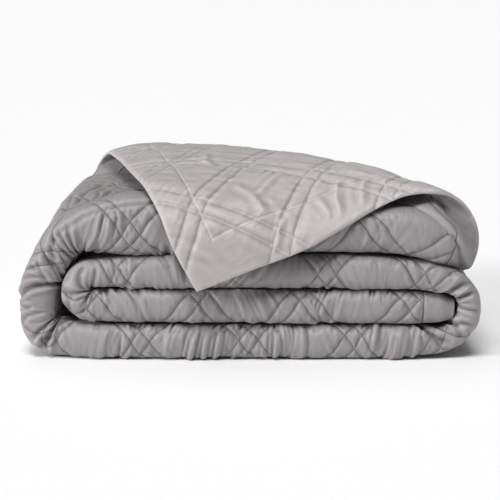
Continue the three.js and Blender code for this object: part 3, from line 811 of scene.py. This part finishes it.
def reverse_rows(fine):
    """Rows of the reverse: close on the turned corner and on the ply that it uncovers."""
    flap_step = FLAP_STEP if fine else FLAP_STEP_HIDDEN
    sparse = steps((0, LENGTH, HIDDEN_STEP))
    flap = LENGTH - np.arange(int(TURNED_SIDE / flap_step)) * flap_step
    hem = np.r_[LENGTH - HEM_PLACES, HEM_PLACES]
    folded = np.unique(np.round(np.r_[steps((HEM_DONE, LENGTH - HEM_DONE, 7)), hem], 4))
    uncovered = steps((LEFT_WRAP + 250, LENGTH, 5 if fine else 20))
    open_ply = np.unique(np.round(np.r_[sparse, uncovered, hem], 4))
    rows = []
    places = np.r_[
        HEM_PLACES, np.arange(HEM_DONE, FLAP_FRONT, flap_step),
        np.arange(FLAP_FRONT, TURNED_END + 20, 2 * flap_step)]
    for t in places:
        start = LENGTH - TURNED_SIDE * (1 - t / TURNED_END) - 24
        near = flap[(flap > start) & (flap < LENGTH - 4)]
        rest = folded if t >= FLAP_FRONT else sparse
        rest = rest[(rest < min(start, LENGTH - 30) - 1) & (rest > 4)]
        rows.append((float(t), np.unique(np.round(np.r_[rest, near, hem], 4))))
    plain = np.unique(np.round(np.r_[sparse[(sparse > 4) & (sparse < LENGTH - 4)], hem], 4))
    first = float(places[-1]) + 6
    rows += banded_rows([
        (first, 8, folded), (482, FLAT_STEP, plain), (BACK_ROWS[0], 5, plain),
        (BACK_ROWS[1], FLAT_STEP, plain), (INNER_ROWS[0], 5, plain),
        (REVERSE_OPENS, 5 if fine else 20, open_ply),
    ], WIDTH - HEM_DONE)
    return rows + [(float(WIDTH - t), open_ply) for t in HEM_PLACES[::-1]]


INNER_S = (BORDER, LENGTH - BORDER)
face_panel = make_cloth(
    "quilted_face", FACE, face_rows(*INNER_S), UNDER_FACE, under_rows(*INNER_S, BORDER, WIDTH - BORDER))
border_side_a = make_cloth(
    "border_side_a", FACE, side_rows(*INNER_S, 0, BORDER - SEAM, True),
    UNDER_FACE, side_rows(*INNER_S, 0, BORDER - SEAM, False))
border_side_b = make_cloth(
    "border_side_b", FACE, side_rows(*INNER_S, WIDTH - BORDER + SEAM, WIDTH, True),
    UNDER_FACE, side_rows(*INNER_S, WIDTH - BORDER + SEAM, WIDTH, False))
border_head = make_cloth(
    "border_head", FACE, end_rows(0, BORDER - SEAM, True), UNDER_FACE, end_rows(0, BORDER - SEAM, False))
border_foot = make_cloth(
    "border_foot", FACE, end_rows(LENGTH - BORDER + SEAM, LENGTH, True),
    UNDER_FACE, end_rows(LENGTH - BORDER + SEAM, LENGTH, False))
reverse_panel = make_cloth("reverse_cloth", OVER_REVERSE, reverse_rows(False), REVERSE, reverse_rows(True))


# Materials, in metres. The heights are shares of the bump's distance.
THREAD_EDGE = (0.0006, 0.0013)
GROOVE_EDGE = (0.0004, 0.0016)
SEAM_EDGE = (0.0003, 0.0018)
VALLEY_REACH = 0.007
STITCH_LENGTH = 0.0062
STITCH_DASH = (-0.5, 0.1)
CLOUD_SCALE = 11.0
SLUB_SCALE = (140.0, 1500.0, 1.0)
WEAVE_SCALE = (1400.0, 1400.0, 1.0)
CRINKLE_SCALE = (150.0, 45.0, 1.0)
CRINKLE_PATCH_SCALE = 24.0
CRINKLE_PATCHES = (0.35, 0.65, 0.15, 1)
MIDDLE_BAND = (0.3, 0.7)  # the values that most of a noise lies between
CLOUD_TONE, SLUB_TONE = 0.12, 0.14
SLUB_SMOOTHER, SLUB_ROUGHER = 0.05, 0.07
# Painted shade and light from the mesh's curvature: the base colour is darkened in its hollows and lightened
# on its ridges.
HOLLOW_POINTINESS, CURVATURE_SHADE_AND_LIGHT = (0.46, 0.54), (0.74, 1.14)
SLUB_HEIGHT = 0.16
WEAVE_HEIGHT = 0.07
CRINKLE_HEIGHT = 2.6
THREAD_HEIGHT = 0.35
GROOVE_DEPTH = 0.6
VALLEY_DEPTH = 1.2
BUMP_STRENGTH, BUMP_DISTANCE = 0.7, 0.0012
SHEEN_ROUGHNESS = 0.4
SPECULAR_LEVEL = 0.5


class Nodes:
    """Adds shader nodes to one material and links them."""

    def __init__(self, material):
        material.use_nodes = True
        self.tree = material.node_tree
        self.shader = self.tree.nodes["Principled BSDF"]

    def add(self, kind, inputs=(), **settings):
        node = self.tree.nodes.new(kind)
        for key, value in settings.items():
            setattr(node, key, value)
        for key, value in dict(inputs).items():
            if isinstance(value, bpy.types.NodeSocket):
                self.tree.links.new(value, node.inputs[key])
            else:
                node.inputs[key].default_value = value
        return node

    def math(self, operation, a, b=0.0, c=0.0):
        return self.add("ShaderNodeMath", {0: a, 1: b, 2: c}, operation=operation).outputs[0]

    def ramp(self, value, low, high, to_low, to_high, kind="SMOOTHSTEP"):
        return self.add("ShaderNodeMapRange", {
            "Value": value, "From Min": low, "From Max": high, "To Min": to_low, "To Max": to_high,
        }, interpolation_type=kind).outputs[0]

    def noise(self, place, scale, detail):
        return self.add("ShaderNodeTexNoise", {
            "Vector": place, "Scale": scale, "Detail": detail,
        }).outputs["Fac"]

    def scaled(self, place, scale):
        return self.add("ShaderNodeMapping", {"Vector": place, "Scale": scale}).outputs[0]

    def mix(self, factor, a, b, **settings):
        return self.add("ShaderNodeMix", {
            "Factor": factor, "A": a, "B": b,
        }, data_type="RGBA", **settings).outputs["Result"]


def stitch_lines(n, lines):
    """Shader values along the double lines: thread, the groove that it pulls in, and the slopes beside it."""
    flat = n.add("ShaderNodeSeparateXYZ", {0: lines})
    spacing, half_pair = DIAMOND / MM_PER_M, PAIR / 2 / MM_PER_M * math.sqrt(2)
    threads, grooves, valleys = [], [], []
    for across, along in ((0, 1), (1, 0)):
        shifted = n.math("ADD", flat.outputs[across], spacing / 2)
        local = n.math("SUBTRACT", n.math("FLOORED_MODULO", shifted, spacing), spacing / 2)
        off = n.math("ABSOLUTE", local)
        away = n.math("ABSOLUTE", n.math("SUBTRACT", off, half_pair))
        dash = n.math("SINE", n.math("MULTIPLY", flat.outputs[along], 2 * math.pi / STITCH_LENGTH))
        thread = n.ramp(away, *THREAD_EDGE, 1, 0)
        threads.append(n.math("MULTIPLY", thread, n.ramp(dash, *STITCH_DASH, 0, 1)))
        grooves.append(n.ramp(away, *GROOVE_EDGE, 1, 0))
        valleys.append(n.ramp(away, 0, VALLEY_REACH, 1, 0, "SMOOTHERSTEP"))
    return n.math("MAXIMUM", *threads), n.math("MAXIMUM", *grooves), n.math("MAXIMUM", *valleys)


def from_border(n, uv):
    """Shader value: how far a place lies inside the border's seam, in metres."""
    flat = n.add("ShaderNodeSeparateXYZ", {0: uv})
    along, across = flat.outputs[0], flat.outputs[1]
    ends = n.math("MINIMUM", along, n.math("SUBTRACT", LENGTH / MM_PER_M, along))
    sides = n.math("MINIMUM", across, n.math("SUBTRACT", WIDTH / MM_PER_M, across))
    return n.math("SUBTRACT", n.math("MINIMUM", ends, sides), BORDER / MM_PER_M)


def cloth_material(name, colour, shade, thread_and_groove_shade, stitch_share, roughness, sheen, plain_border):
    """Satin-woven cotton with double lines of quilting stitches. UV holds the flat place in metres."""
    material = bpy.data.materials.new(name)
    n = Nodes(material)
    uv = n.add("ShaderNodeUVMap", uv_map="cloth").outputs[0]
    lines = n.add("ShaderNodeUVMap", uv_map="lines").outputs[0]
    thread, groove, valley = stitch_lines(n, lines)
    inside = from_border(n, uv)
    if plain_border:
        quilted = n.ramp(inside, 0, 0.002, 0, 1)
        thread, groove, valley = (n.math("MULTIPLY", value, quilted) for value in (thread, groove, valley))
    seam = n.ramp(n.math("ABSOLUTE", inside), *SEAM_EDGE, 1, 0)
    groove = n.math("MAXIMUM", groove, seam)
    cloudy = n.noise(uv, CLOUD_SCALE, 4.0)
    slub = n.noise(n.scaled(uv, SLUB_SCALE), 1.0, 2.0)
    weave = n.add("ShaderNodeTexChecker", {"Vector": n.scaled(uv, WEAVE_SCALE), "Scale": 1.0}).outputs["Fac"]
    uneven = n.noise(n.scaled(uv, CRINKLE_SCALE), 1.0, 3.0)
    patchy = n.ramp(n.noise(uv, CRINKLE_PATCH_SCALE, 1.0), *CRINKLE_PATCHES)
    crinkle = n.math("MULTIPLY", n.math("ABSOLUTE", n.math("SUBTRACT", uneven, 0.5)), patchy)
    # Painted shade in the hollows and painted light on the ridges, from the mesh's curvature, multiplied into
    # the base colour.
    pointy = n.add("ShaderNodeNewGeometry").outputs["Pointiness"]
    curvature_shade = n.ramp(pointy, *HOLLOW_POINTINESS, *CURVATURE_SHADE_AND_LIGHT)
    tone = n.math(
        "ADD", n.ramp(cloudy, *MIDDLE_BAND, -CLOUD_TONE, CLOUD_TONE),
        n.ramp(slub, *MIDDLE_BAND, -SLUB_TONE, SLUB_TONE))
    base = n.mix(n.math("ADD", tone, 0.5), (*shade, 1), (*colour, 1))
    # The stitch grooves and the border's seam take on the groove colour: painted shade in them on the face,
    # the pale thread's colour on the reverse.
    thread_and_shade_in_grooves = n.mix(n.math("MULTIPLY", groove, stitch_share), base, (*thread_and_groove_shade, 1))
    curvature_shaded = n.mix(1.0, thread_and_shade_in_grooves, curvature_shade, blend_type="MULTIPLY")
    n.tree.links.new(curvature_shaded, n.shader.inputs["Base Color"])
    rough = n.ramp(slub, *MIDDLE_BAND, roughness - SLUB_SMOOTHER, roughness + SLUB_ROUGHER)
    n.tree.links.new(rough, n.shader.inputs["Roughness"])
    height = n.math("ADD", n.math("MULTIPLY", slub, SLUB_HEIGHT), n.math("MULTIPLY", weave, WEAVE_HEIGHT))
    height = n.math("ADD", height, n.math("MULTIPLY", crinkle, CRINKLE_HEIGHT))
    height = n.math("ADD", height, n.math("MULTIPLY", thread, THREAD_HEIGHT))
    height = n.math("SUBTRACT", height, n.math("MULTIPLY", groove, GROOVE_DEPTH))
    height = n.math("SUBTRACT", height, n.math("MULTIPLY", valley, VALLEY_DEPTH))
    bump = n.add("ShaderNodeBump", {"Height": height, "Strength": BUMP_STRENGTH, "Distance": BUMP_DISTANCE})
    n.tree.links.new(bump.outputs[0], n.shader.inputs["Normal"])
    n.shader.inputs["Sheen Weight"].default_value = sheen
    n.shader.inputs["Sheen Roughness"].default_value = SHEEN_ROUGHNESS
    n.shader.inputs["Specular IOR Level"].default_value = SPECULAR_LEVEL
    return material


# The face's groove colour is painted shade in its stitch grooves and seams. The reverse's groove colour is
# its pale thread.
face_cloth = cloth_material(
    "face_satin", colour=(0.3, 0.281, 0.283), shade=(0.253, 0.237, 0.239), thread_and_groove_shade=(0.085, 0.08, 0.08),
    stitch_share=0.72, roughness=0.4, sheen=0.15, plain_border=True)
reverse_cloth = cloth_material(
    "reverse_satin", colour=(0.45, 0.42, 0.418), shade=(0.39, 0.363, 0.361), thread_and_groove_shade=(0.66, 0.63, 0.628),
    stitch_share=0.42, roughness=0.42, sheen=0.14, plain_border=False)

FLAT_LENGTH = LENGTH / MM_PER_M
FLAT_WIDTH = WIDTH / MM_PER_M
STRIP = BORDER / MM_PER_M
for piece, node, slot, material, flat in (
    (face_panel, "face_panel", "face_cloth", face_cloth, (FLAT_WIDTH - 2 * STRIP, FLAT_LENGTH - 2 * STRIP)),
    (border_side_a, "face_border_side_a", "face_cloth", face_cloth, (STRIP, FLAT_LENGTH - 2 * STRIP)),
    (border_side_b, "face_border_side_b", "face_cloth", face_cloth, (STRIP, FLAT_LENGTH - 2 * STRIP)),
    (border_head, "face_border_head", "face_cloth", face_cloth, (FLAT_WIDTH, STRIP)),
    (border_foot, "face_border_foot", "face_cloth", face_cloth, (FLAT_WIDTH, STRIP)),
    (reverse_panel, "reverse_panel", "reverse_cloth", reverse_cloth, (FLAT_WIDTH, FLAT_LENGTH)),
):
    piece.data.materials.append(material)
    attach(piece, "root")
    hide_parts(node)

# A pale floor, soft light and the camera.
FLOOR_SIZE, FLOOR_BELOW = 600, 0.0005
FLOOR_COLOUR = (0.93, 0.93, 0.93, 1)
FLOOR_ROUGHNESS = 0.9
WORLD_STRENGTH = 0.12
bpy.ops.mesh.primitive_plane_add(size=FLOOR_SIZE, location=(0, 0, -FLOOR_BELOW))
floor = bpy.context.object
floor.name = "floor"
pale = bpy.data.materials.new("pale_floor")
pale.use_nodes = True
pale_shader = pale.node_tree.nodes["Principled BSDF"]
pale_shader.inputs["Base Color"].default_value = FLOOR_COLOUR
pale_shader.inputs["Roughness"].default_value = FLOOR_ROUGHNESS
floor.data.materials.append(pale)

world = bpy.data.worlds.new("studio")
world.use_nodes = True
world.node_tree.nodes["Background"].inputs["Color"].default_value = (1, 1, 1, 1)
world.node_tree.nodes["Background"].inputs["Strength"].default_value = WORLD_STRENGTH
bpy.context.scene.world = world


def soft_sun(name, direction, angle, strength):
    """Even light from far away. The angle is how wide the light looks from the object, in degrees."""
    light = bpy.data.lights.new(name, "SUN")
    light.angle = math.radians(angle)
    light.energy = strength
    lamp = bpy.data.objects.new(name, light)
    lamp.rotation_euler = Vector(direction).to_track_quat("-Z", "Y").to_euler()
    bpy.context.scene.collection.objects.link(lamp)


soft_sun("key", direction=(1.0, 0.45, -0.35), angle=14, strength=1.95)
soft_sun("front", direction=(0.1, 0.5, -0.95), angle=26, strength=2.1)
soft_sun("top", direction=(0.2, -0.3, -1.0), angle=60, strength=0.6)

AIM = Vector((0.0017, -0.1897, 0.1415))
ELEVATION = math.radians(10)
DISTANCE = 2.1
SENSOR, LENS = 36, 121.5
FAR_CLIP = 100
camera = bpy.data.objects.new("camera", bpy.data.cameras.new("camera"))
camera.data.sensor_width = SENSOR
camera.data.lens = LENS
camera.data.clip_end = FAR_CLIP
camera.location = AIM + DISTANCE * Vector((0, -math.cos(ELEVATION), math.sin(ELEVATION)))
camera.rotation_euler = (AIM - camera.location).to_track_quat("-Z", "Y").to_euler()
bpy.context.scene.collection.objects.link(camera)
bpy.context.scene.camera = camera
bpy.context.scene.view_settings.view_transform = "Standard"
